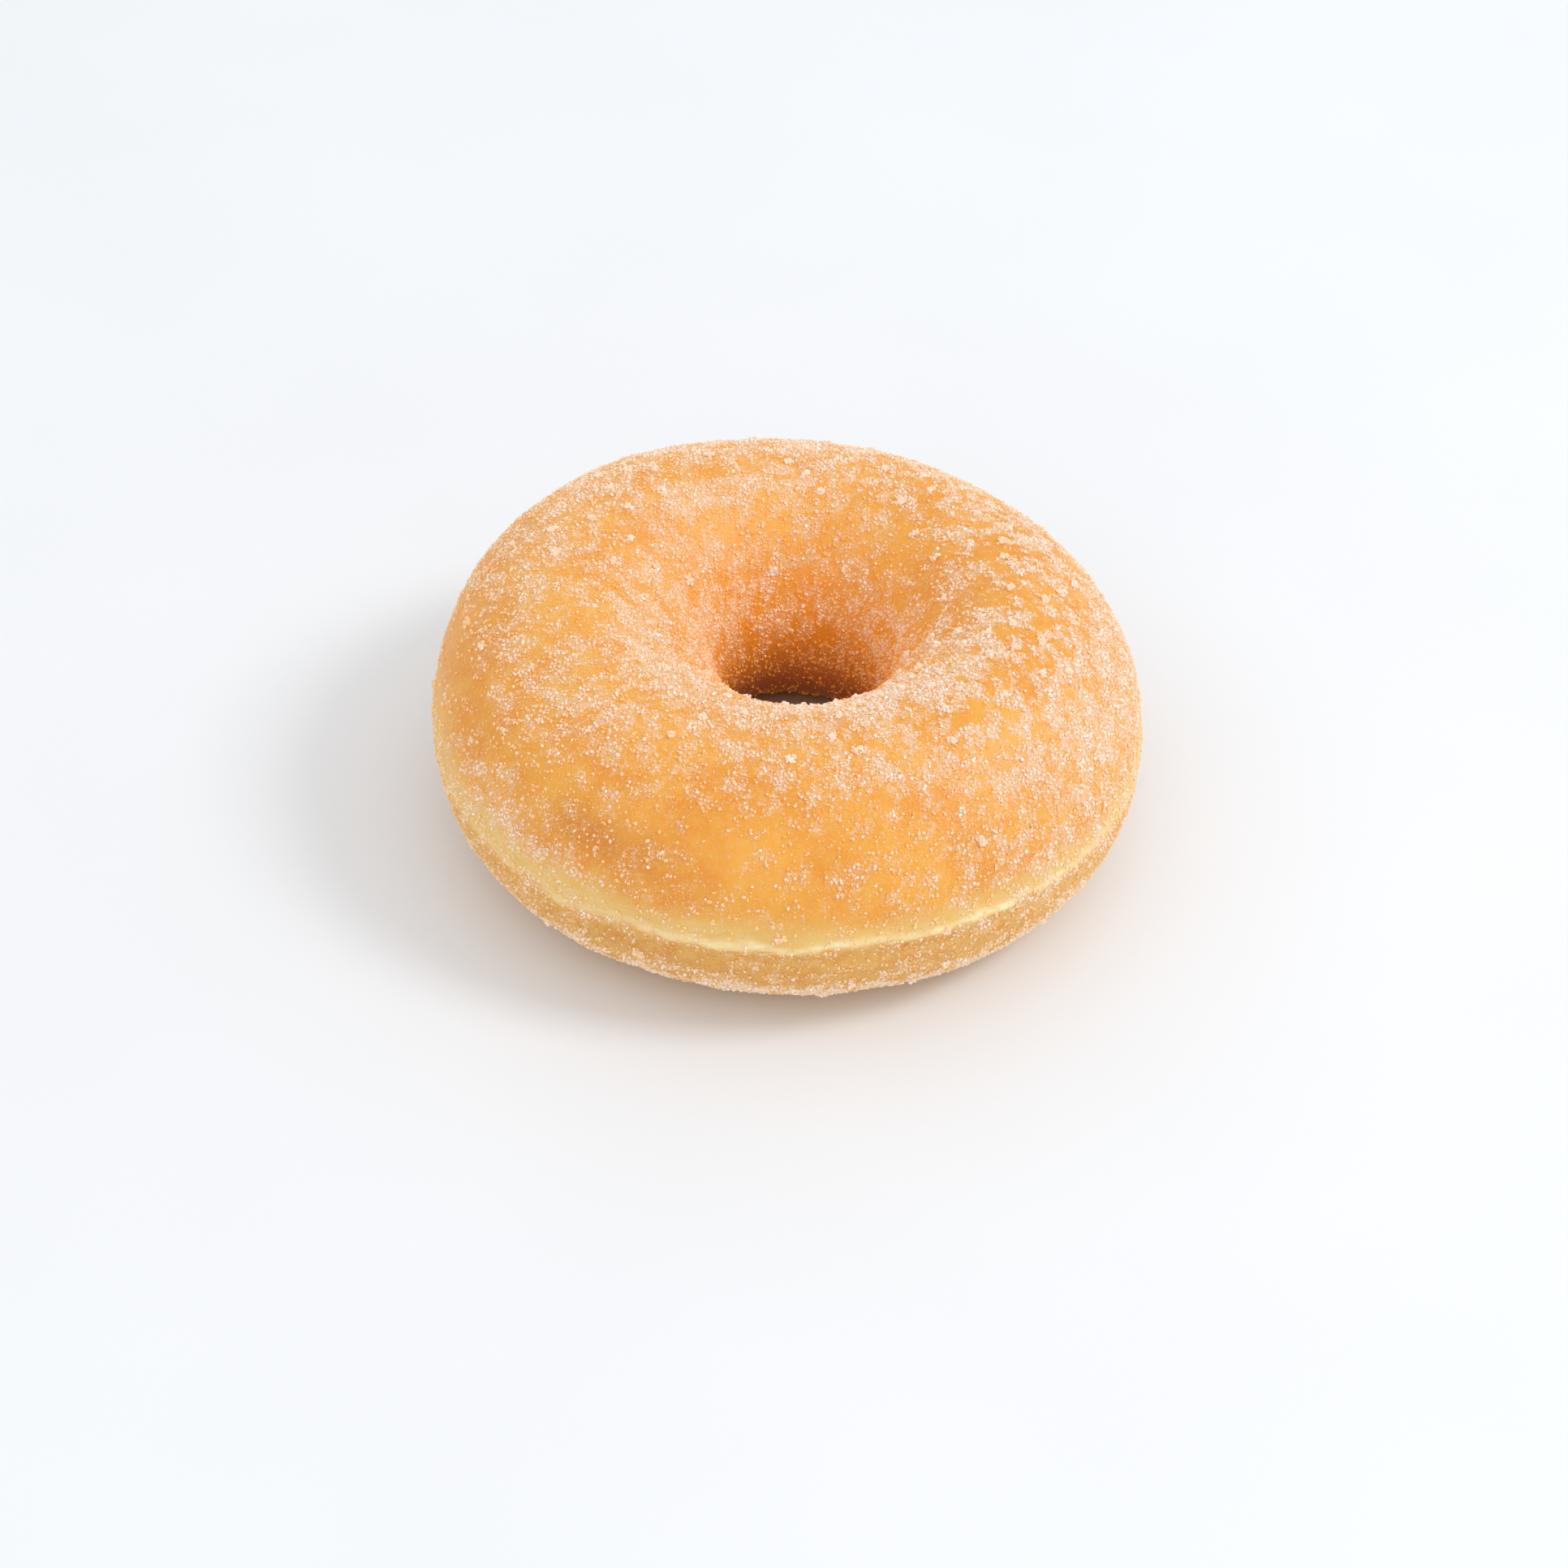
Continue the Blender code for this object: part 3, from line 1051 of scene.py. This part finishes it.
@dataclass
class Dough:
    """The fried ring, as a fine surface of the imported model's form."""

    form: RingForm
    coat: SugarCoat
    finish: CrustFinish
    ring_steps: int = 140
    section_steps: int = 42
    cuts: int = 3
    row_crowding: float = 0.35
    row_middle: float = math.radians(2.0)
    fine_relief: tuple[Swell, ...] = (Swell(2.4 * MM, 0.055 * MM, 5.0), Swell(1.2 * MM, 0.03 * MM, 5.0))
    pores: Swell = Swell(0.9 * MM, 0.05 * MM, 2.0)
    low_wander: tuple[Swell, ...] = (Swell(8.0 * MM, 3.0, 2.5), Swell(2.6 * MM, 2.0, 3.5))
    top_wander: tuple[Swell, ...] = (Swell(7.0 * MM, 3.0, 1.0), Swell(2.0 * MM, 1.5, 1.5))
    band_rise: float = math.radians(3.5)
    band_softer: float = math.radians(6.0)
    band_drop: float = math.radians(3.0)
    band_fall: float = math.radians(13.0)
    under_rise: float = math.radians(4.5)
    under_softer: float = math.radians(9.0)
    under_end: float = math.radians(150.0)
    ridge_rise: float = math.radians(1.8)
    ridge_width: float = math.radians(1.8)
    ridge_fullness: float = 1.7
    ridge_torn: Swell = Swell(3.0 * MM, 0.9, 4.0, 0.8)
    ridge_spread: Swell = Swell(3.0 * MM, 0.7, 8.0, 0.8)
    ridge_height: float = 0.24 * MM
    unbanded: tuple[Patch, ...] = (Patch(176, 12, 26, 12, 0.75),)
    # Brown spots on the crust; the last patch is painted shade at the foot of the hole.
    brown_spots_and_hole_shade: tuple[Patch, ...] = (
        Patch(-121, 34, 10, 8, 0.32),
        Patch(-118, -9, 16, 6, 0.18),
        Patch(-98, -14, 30, 10, 0.12),
        Patch(-58, -8, 18, 5, 0.12),
        Patch(90, -150, 120, 26, 0.80),
    )
    # The hole, where the crust, its film and the grains get painted warm shade.
    deep: tuple[Patch, ...] = (Patch(90, 205, 720, 58, 1.0),)
    glowing: tuple[Patch, ...] = (Patch(90, 160, 720, 24, 1.0),)
    lightened: tuple[Patch, ...] = (
        Patch(-175, 72, 10, 8, 0.35),
        Patch(-150, 82, 12, 8, 0.35),
        Patch(60, 120, 14, 10, 0.30),
        Patch(-165, 10, 30, 12, 0.20),
    )

    def build(self) -> bpy.types.Object:
        """Models the dough and dresses it.

        Returns:
            The finished piece.
        """
        deselect_all()
        middle_radius = (self.form.outer_radius + self.form.hole_radius) / 2.0
        bpy.ops.mesh.primitive_torus_add(
            major_segments=self.ring_steps,
            minor_segments=self.section_steps,
            major_radius=middle_radius,
            minor_radius=(self.form.outer_radius - self.form.hole_radius) / 2.0,
        )
        bpy.ops.object.mode_set(mode="EDIT")
        bpy.ops.mesh.select_all(action="SELECT")
        bpy.ops.mesh.subdivide(number_cuts=self.cuts)
        bpy.ops.object.mode_set(mode="OBJECT")
        dough = bpy.context.object
        dough.name = "dough"
        mesh = dough.data
        mesh.name = "dough"
        places = read_points(mesh)
        azimuth = np.arctan2(places[:, 1], places[:, 0])
        turned = np.arctan2(places[:, 2], np.hypot(places[:, 0], places[:, 1]) - middle_radius)
        section = turned - self.row_crowding * np.sin(turned - self.row_middle)
        points = self.form.crust(azimuth, section)
        write_points(mesh, self.roughen(azimuth, section, points))
        trim(mesh)
        self.mark(mesh, azimuth, section, points)
        bpy.ops.object.shade_smooth()
        mesh.materials.append(self.finish.make())
        return dough

    def roughen(self, azimuth: np.ndarray, section: np.ndarray, points: np.ndarray) -> np.ndarray:
        """Adds the crust's fine relief, which fades out where the dough rests.

        Args:
            azimuth: azimuth of each place.
            section: section angle of each place.
            points: the places themselves.

        Returns:
            The moved places.
        """
        fade = np.clip(points[:, 2] / self.form.foot_height, 0.0, 1.0)
        fine = swelling(self.fine_relief, points)
        pores = self.pores.at(points) * self.band(azimuth, section, points)
        ridge = self.ridge_height * self.ridge(azimuth, section, points)
        moved = points + self.form.normals(azimuth, section) * ((fine + pores + ridge) * fade)[:, None]
        moved[:, 2] = np.maximum(moved[:, 2], 0.0)
        return moved

    def band_edge(self, azimuth: np.ndarray, points: np.ndarray) -> np.ndarray:
        """Section angle of the band's lower edge."""
        return self.form.band_low.at(azimuth) + np.radians(swelling(self.low_wander, points))

    def band(self, azimuth: np.ndarray, section: np.ndarray, points: np.ndarray) -> np.ndarray:
        """The pale band, with uneven edges.

        Args:
            azimuth: azimuth of each place.
            section: section angle of each place.
            points: the places themselves.

        Returns:
            A share from 0 to 1 for each place.
        """
        top = self.form.band_top.at(azimuth) + np.radians(swelling(self.top_wander, points))
        soft = self.band_rise + self.band_softer * (1.0 - self.form.crease_strength(azimuth))
        rise = np.clip((section - self.band_edge(azimuth, points)) / soft + HALF, 0.0, 1.0)
        fall = np.clip((top - self.band_drop - section) / self.band_fall + HALF, 0.0, 1.0)
        return eased(rise) * eased(fall) * (1.0 - patched(self.unbanded, azimuth, section))

    def ridge(self, azimuth: np.ndarray, section: np.ndarray, points: np.ndarray) -> np.ndarray:
        """The torn pale line along the band's lower edge.

        Args:
            azimuth: azimuth of each place.
            section: section angle of each place.
            points: the places themselves.

        Returns:
            A share from 0 to 1 for each place.
        """
        middle = self.band_edge(azimuth, points) + self.ridge_rise
        width = self.ridge_width * self.ridge_spread.at(points)
        strength = np.clip(self.ridge_torn.at(points), 0.0, 1.0) * self.form.crease_strength(azimuth)
        return strength * np.clip(self.ridge_fullness * hump(section, middle, width), 0.0, 1.0)

    def mark(
        self, mesh: bpy.types.Mesh, azimuth: np.ndarray, section: np.ndarray, points: np.ndarray
    ) -> None:
        """Stores on the mesh where the dough is pale, browned, light, low and sugared, where the hole
        lies, and where the hole has a painted glow and painted shade at its foot.

        Args:
            mesh: the dough's mesh.
            azimuth: azimuth of each place.
            section: section angle of each place.
            points: the places themselves.
        """
        soft = self.under_rise + self.under_softer * (1.0 - self.form.crease_strength(azimuth))
        below = (self.band_edge(azimuth, points) - section) / soft + HALF
        inside = np.abs(section) > self.under_end
        coat, heaps = self.coat.lay(azimuth, section, points)
        numbers = {
            "band": self.band(azimuth, section, points),
            "ridge": self.ridge(azimuth, section, points),
            "under": np.where(inside, 0.0, np.clip(below, 0.0, 1.0)),
            "brown_spots_and_hole_shade": share_of(self.brown_spots_and_hole_shade, azimuth, section),
            "lightened": share_of(self.lightened, azimuth, section),
            "deep": share_of(self.deep, azimuth, section),
            "glowing": share_of(self.glowing, azimuth, section),
            "coat": coat,
            "heaps": heaps,
        }
        for name, values in numbers.items():
            write_numbers(mesh, name, values)


# ---------------------------------------------------------------- the sugar


DROPPED_NUMBERS = ("ridge", "lightened", "brown_spots_and_hole_shade", "heaps")


class Cut(Enum):
    """What a crystal is cut from."""

    CHAMFERED = "chamfered"
    CUBE = "cube"
    CHIP = "chip"
    SPLINTER = "splinter"


@dataclass(frozen=True)
class Crystal:
    """One grain of sugar about a unit across, shaped by its cut and its seed."""

    cut: Cut
    seed: int
    uneven: float = 0.16
    body: float = 0.85
    chip_radius: float = 0.62
    chip_sides: int = 4
    splinter_sides: int = 3
    lower: tuple[float, float] = (0.75, 1.0)
    flatter: tuple[float, float] = (0.6, 0.9)
    chamfer_at: tuple[float, float] = (0.30, 0.27)
    chamfer_lean: float = 0.5

    def build(self, material: bpy.types.Material) -> bpy.types.Object:
        """Models the crystal at the origin.

        Args:
            material: the crystal's finish.

        Returns:
            The crystal.
        """
        deselect_all()
        draw = random.Random(self.seed)
        if self.cut in (Cut.CHIP, Cut.SPLINTER):
            sides = self.chip_sides if self.cut is Cut.CHIP else self.splinter_sides
            bpy.ops.mesh.primitive_cone_add(vertices=sides, radius1=self.chip_radius, depth=self.body)
        else:
            bpy.ops.mesh.primitive_cube_add(size=self.body)
        bpy.ops.object.mode_set(mode="EDIT")
        bpy.ops.mesh.select_all(action="SELECT")
        squash = (1.0, draw.uniform(*self.lower), draw.uniform(*self.flatter))
        bpy.ops.transform.resize(value=squash)
        if self.cut is Cut.CHAMFERED:
            self.chamfer(draw)
        bpy.ops.mesh.select_all(action="SELECT")
        bpy.ops.transform.vertex_random(offset=self.uneven, uniform=0.0, normal=0.0, seed=self.seed)
        bpy.ops.mesh.normals_make_consistent(inside=False)
        bpy.ops.object.mode_set(mode="OBJECT")
        bpy.ops.object.transform_apply(location=True, rotation=True, scale=True)
        crystal = bpy.context.object
        crystal.name = f"crystal_{self.cut.value}_{self.seed}"
        crystal.data.materials.append(material)
        return crystal

    def chamfer(self, draw: random.Random) -> None:
        """Cuts two opposite corners off the cube that is being edited.

        Args:
            draw: the crystal's draws.
        """
        for side in (1.0, -1.0):
            bpy.ops.mesh.select_all(action="SELECT")
            bpy.ops.mesh.bisect(
                plane_co=(self.chamfer_at[0] * side, 0.0, self.chamfer_at[1] * side),
                plane_no=(side, draw.uniform(-self.chamfer_lean, self.chamfer_lean), side),
                use_fill=True,
                clear_outer=True,
            )


@dataclass(frozen=True)
class GrainKind:
    """One kind of grain and how it is scattered.

    Attributes:
        piece: name of the piece it becomes.
        cut: the crystals' shape.
        size: smallest and largest grain.
        spacing: least distance between two of them.
        density: most grains to a square metre.
        number: name of the number on the dough that says how many lie where.
        lift: lowest and highest place over the crust.
        seed: seed of the scatter.
        variants: how many different crystals are mixed.
        seed_step: how far apart two kinds' first crystal seeds are, for a seed one apart.
    """

    piece: str
    cut: Cut
    size: tuple[float, float]
    spacing: float
    density: float
    number: str
    lift: tuple[float, float]
    seed: int
    variants: int = 6
    seed_step: int = 10

    def scatter(self, dough: bpy.types.Object, finish: bpy.types.Material) -> bpy.types.Object:
        """Scatters the grains over the dough as one mesh.

        Args:
            dough: the surface that they lie on.
            finish: the grains' material.

        Returns:
            The mesh of all grains.
        """
        crystals = bpy.data.collections.new(f"{self.piece}_crystals")
        for variant in range(self.variants):
            crystal = Crystal(self.cut, self.seed * self.seed_step + variant).build(finish)
            for home in list(crystal.users_collection):
                home.objects.unlink(crystal)
            crystals.objects.link(crystal)
        grains = bpy.data.objects.new(self.piece, dough.data.copy())
        bpy.context.scene.collection.objects.link(grains)
        spread = grains.modifiers.new("scatter", "NODES")
        spread.node_group = self.recipe(crystals)
        deselect_all()
        bpy.context.view_layer.objects.active = grains
        bpy.ops.object.modifier_apply(modifier=spread.name)
        grains.data.name = self.piece
        for name in DROPPED_NUMBERS:
            grains.data.attributes.remove(grains.data.attributes[name])
        mark_facets(grains.data, self.seed)
        for crystal in list(crystals.objects):
            bpy.data.meshes.remove(crystal.data)
        bpy.data.collections.remove(crystals)
        return grains

    def recipe(self, crystals: bpy.types.Collection) -> bpy.types.NodeTree:
        """The nodes that scatter, turn, size and join the crystals.

        Args:
            crystals: the crystals to choose from.

        Returns:
            The node tree.
        """
        tree = bpy.data.node_groups.new(self.piece, "GeometryNodeTree")
        tree.interface.new_socket("Geometry", in_out="INPUT", socket_type="NodeSocketGeometry")
        tree.interface.new_socket("Geometry", in_out="OUTPUT", socket_type="NodeSocketGeometry")
        desk = Desk(tree)
        surface = desk.node("NodeGroupInput")
        where = desk.node("GeometryNodeInputNamedAttribute", {"data_type": "FLOAT"}, {"Name": self.number})
        spread = {
            "Mesh": surface,
            "Distance Min": self.spacing,
            "Density Max": self.density,
            "Density Factor": where,
            "Seed": self.seed,
        }
        points = desk.node("GeometryNodeDistributePointsOnFaces", {"distribute_method": "POISSON"}, spread)
        rise = self.draw(desk, "FLOAT", self.lift[0], self.lift[1], 1)
        lift = {0: points.out("Normal"), "Scale": rise}
        offset = desk.node("ShaderNodeVectorMath", {"operation": "SCALE"}, lift)
        move = {"Geometry": points.out("Points"), "Offset": offset}
        raised = desk.node("GeometryNodeSetPosition", None, move)
        shapes = desk.node(
            "GeometryNodeCollectionInfo",
            None,
            {"Collection": crystals, "Separate Children": True, "Reset Children": True},
        )
        placing = {
            "Points": raised,
            "Instance": shapes,
            "Pick Instance": True,
            "Rotation": self.draw(desk, "FLOAT_VECTOR", (0.0,) * 3, (math.tau,) * 3, 2),
            "Scale": self.draw(desk, "FLOAT", self.size[0], self.size[1], 3),
        }
        grains = desk.node("GeometryNodeInstanceOnPoints", None, placing)
        tinted = desk.node(
            "GeometryNodeStoreNamedAttribute",
            {"data_type": "FLOAT", "domain": "INSTANCE"},
            {"Geometry": grains, "Name": "tint", "Value": self.draw(desk, "FLOAT", 0.0, 1.0, 4)},
        )
        laid = desk.node(
            "GeometryNodeStoreNamedAttribute",
            {"data_type": "FLOAT_VECTOR", "domain": "INSTANCE"},
            {"Geometry": tinted, "Name": "outward", "Value": points.out("Normal")},
        )
        joined = desk.node("GeometryNodeRealizeInstances", None, {"Geometry": laid})
        desk.node("NodeGroupOutput", None, {"Geometry": joined})
        return tree

    def draw(self, desk: Desk, kind: str, low: float | tuple, high: float | tuple, step: int) -> Wire:
        """A random number or vector for each grain."""
        inputs = {"Min": low, "Max": high, "Seed": self.seed + step}
        return desk.node("FunctionNodeRandomValue", {"data_type": kind}, inputs)


GRAIN_KINDS = (
    GrainKind(
        piece="sugar_crystals",
        cut=Cut.CHAMFERED,
        size=(0.32 * MM, 0.50 * MM),
        spacing=0.38 * MM,
        density=2.0e6,
        number="heaps",
        lift=(0.0, 0.14 * MM),
        seed=11,
    ),
    GrainKind(
        piece="sugar_grit",
        cut=Cut.CHIP,
        size=(0.20 * MM, 0.34 * MM),
        spacing=0.22 * MM,
        density=6.0e6,
        number="heaps",
        lift=(0.0, 0.16 * MM),
        seed=71,
    ),
    GrainKind(
        piece="sugar_grains",
        cut=Cut.CUBE,
        size=(0.27 * MM, 0.44 * MM),
        spacing=0.33 * MM,
        density=2.6e6,
        number="coat",
        lift=(0.0, 0.10 * MM),
        seed=23,
    ),
    GrainKind(
        piece="sugar_fines",
        cut=Cut.CHIP,
        size=(0.18 * MM, 0.30 * MM),
        spacing=0.21 * MM,
        density=5.3e6,
        number="coat",
        lift=(0.0, 0.06 * MM),
        seed=37,
    ),
    GrainKind(
        piece="sugar_dust",
        cut=Cut.SPLINTER,
        size=(0.12 * MM, 0.20 * MM),
        spacing=0.16 * MM,
        density=7.2e6,
        number="coat",
        lift=(0.0, 0.04 * MM),
        seed=53,
    ),
)


@dataclass
class SugarClumps:
    """The big clumps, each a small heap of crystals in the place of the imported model's clump."""

    form: RingForm
    rule: Clumping
    coat: SugarCoat
    crystals_each: int = 24
    size: tuple[float, float] = (0.30 * MM, 0.52 * MM)
    variants: int = 6
    first_seed: int = 900
    heaped: float = 0.25
    spread: tuple[float, float] = (0.2, 0.75)

    def build(self, finish: bpy.types.Material) -> bpy.types.Object:
        """Models all the clumps as one mesh.

        Args:
            finish: the crystals' material.

        Returns:
            The finished piece.
        """
        seeds = range(self.first_seed, self.first_seed + self.variants)
        shapes = [Crystal(Cut.CHAMFERED, seed).build(finish) for seed in seeds]
        moulds = [
            (read_points(shape.data), [tuple(face.vertices) for face in shape.data.polygons])
            for shape in shapes
        ]
        corners: list[np.ndarray] = []
        faces: list[tuple[int, ...]] = []
        tints: list[float] = []
        coats: list[float] = []
        outwards: list[np.ndarray] = []
        places = self.rule.places(self.form)
        covers = self.coat.cover(*np.array(places).T) + self.heaped
        start = 0
        for index, (azimuth, section) in enumerate(places):
            draw = random.Random(self.rule.seed * self.rule.seed_step + index)
            outward = self.form.normals(np.array([azimuth]), np.array([section]))[0]
            centre, axes = self.bed(azimuth, section, draw)
            for _ in range(self.crystals_each):
                points, polygons = draw.choice(moulds)
                turn = np.array(Matrix.Rotation(draw.uniform(0.0, math.tau), 3, self.direction(draw)))
                spot = centre + axes @ np.array(self.direction(draw)) * draw.uniform(*self.spread)
                corners.append(points * draw.uniform(*self.size) @ turn.T + spot)
                faces.extend(tuple(start + corner for corner in polygon) for polygon in polygons)
                tints.extend([draw.random()] * len(points))
                coats.extend([covers[index]] * len(points))
                outwards.extend([outward] * len(points))
                start += len(points)
        mesh = bpy.data.meshes.new("sugar_clumps")
        mesh.from_pydata(np.concatenate(corners).tolist(), [], faces)
        write_numbers(mesh, "tint", np.array(tints))
        write_numbers(mesh, "coat", np.array(coats))
        write_directions(mesh, "outward", np.array(outwards))
        mark_facets(mesh, self.rule.seed)
        mesh.materials.append(finish)
        clumps = bpy.data.objects.new("sugar_clumps", mesh)
        bpy.context.scene.collection.objects.link(clumps)
        for shape in shapes:
            bpy.data.meshes.remove(shape.data)
        return clumps

    def bed(self, azimuth: float, section: float, draw: random.Random) -> tuple[np.ndarray, np.ndarray]:
        """The place and the size of a clump.

        Args:
            azimuth: azimuth of the clump.
            section: section angle of the clump.
            draw: the clump's draws.

        Returns:
            Its middle, and its three half widths as the columns of a matrix.
        """
        place = (np.array([azimuth]), np.array([section]))
        outward = Vector(self.form.normals(*place)[0])
        centre = self.form.crust(*place)[0] + np.array(outward) * self.rule.lift
        wide = draw.uniform(*self.rule.wide)
        long = wide * draw.uniform(self.rule.slimmest, 1.0)
        tall = draw.uniform(*self.rule.tall)
        lay = outward.to_track_quat("Z", "Y").to_matrix()
        spin = Matrix.Rotation(draw.uniform(0.0, math.tau), 3, "Z")
        return centre, np.array(lay @ spin) * np.array((wide, long, tall))

    @staticmethod
    def direction(draw: random.Random) -> Vector:
        """An even random direction."""
        return Vector((draw.gauss(0.0, 1.0), draw.gauss(0.0, 1.0), draw.gauss(0.0, 1.0))).normalized()


# ---------------------------------------------------------------- the studio


@dataclass(frozen=True)
class SoftBox:
    """A square studio light that faces the doughnut."""

    name: str
    place: tuple[float, float, float]
    width: float
    watts: float
    tint: tuple[float, float, float] = (1.0, 1.0, 1.0)

    def build(self) -> None:
        """Adds the light."""
        toward = -Vector(self.place)
        turn = toward.to_track_quat("-Z", "Y").to_euler()
        bpy.ops.object.light_add(type="AREA", location=self.place, rotation=turn)
        light = bpy.context.object
        light.name = self.name
        light.data.size = self.width
        light.data.energy = self.watts
        light.data.color = self.tint


@dataclass(frozen=True)
class Viewpoint:
    """The camera, aimed at a point of the table top under the doughnut."""

    aim: tuple[float, float, float] = (0.0, 2.2 * MM, 0.0)
    distance: float = 480.0 * MM
    elevation: float = math.radians(41.5)
    roll: float = math.radians(1.45)
    lens: float = 79.9
    sensor: float = 36.0
    near: float = 10.0 * MM
    far: float = 20.0

    def build(self, middle: np.ndarray) -> None:
        """Adds the camera.

        Args:
            middle: how far the doughnut was moved to stand over the origin.
        """
        back = Vector((0.0, -math.cos(self.elevation), math.sin(self.elevation)))
        right = Vector((1.0, 0.0, 0.0))
        up = back.cross(right)
        tilted_right = right * math.cos(self.roll) + up * math.sin(self.roll)
        tilted_up = up * math.cos(self.roll) - right * math.sin(self.roll)
        place = Vector(self.aim) - Vector(middle) + back * self.distance
        turn = Matrix((tilted_right, tilted_up, back)).transposed().to_4x4()
        bpy.ops.object.camera_add()
        camera = bpy.context.object
        camera.matrix_world = Matrix.Translation(place) @ turn
        camera.data.lens = self.lens
        camera.data.sensor_width = self.sensor
        camera.data.clip_start = self.near
        camera.data.clip_end = self.far
        bpy.context.scene.camera = camera


@dataclass(frozen=True)
class Studio:
    """The table top, the lights and the sky round the doughnut."""

    floor_width: float = 6.0
    sky: float = 0.85
    boxes: tuple[SoftBox, ...] = (
        SoftBox("key", (0.95, -0.1, 1.0), 0.40, 5.8),
        SoftBox("fill", (-0.5, -1.4, 0.9), 1.0, 2.4),
    )

    def build(self) -> None:
        """Adds the floor, the lights and the sky."""
        deselect_all()
        bpy.ops.mesh.primitive_plane_add(size=self.floor_width)
        floor = bpy.context.object
        floor.name = "floor"
        floor.data.materials.append(FloorFinish().make())
        for box in self.boxes:
            box.build()
        world = bpy.data.worlds.new("sky")
        world.use_nodes = True
        sky = world.node_tree.nodes["Background"]
        sky.inputs["Color"].default_value = (1.0, 1.0, 1.0, 1.0)
        sky.inputs["Strength"].default_value = self.sky
        bpy.context.scene.world = world
        bpy.context.scene.view_settings.view_transform = "Standard"


# ---------------------------------------------------------------- all together


def report(piece: bpy.types.Object) -> None:
    """Logs a finished piece with its count of triangles."""
    triangles = sum(len(face.vertices) - 2 for face in piece.data.polygons)
    log.info("%s: %d triangles", piece.name, triangles)


def main() -> None:
    """Builds the dough, the sugar and the studio in order."""
    logging.basicConfig(level=logging.INFO, format="%(name)s: %(message)s")
    form = RingForm()
    coat = SugarCoat()
    dough = Dough(form, coat, CrustFinish()).build()
    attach(dough, BODY)
    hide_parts(NODE)
    report(dough)
    sugar = SugarFinish().make()
    grains = [kind.scatter(dough, sugar) for kind in GRAIN_KINDS]
    grains.append(SugarClumps(form, Clumping(), coat).build(sugar))
    for piece in grains:
        trim(piece.data)
        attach(piece, BODY)
        report(piece)
    Studio().build()
    Viewpoint().build(form.middle())


if __name__ == "__main__":
    main()
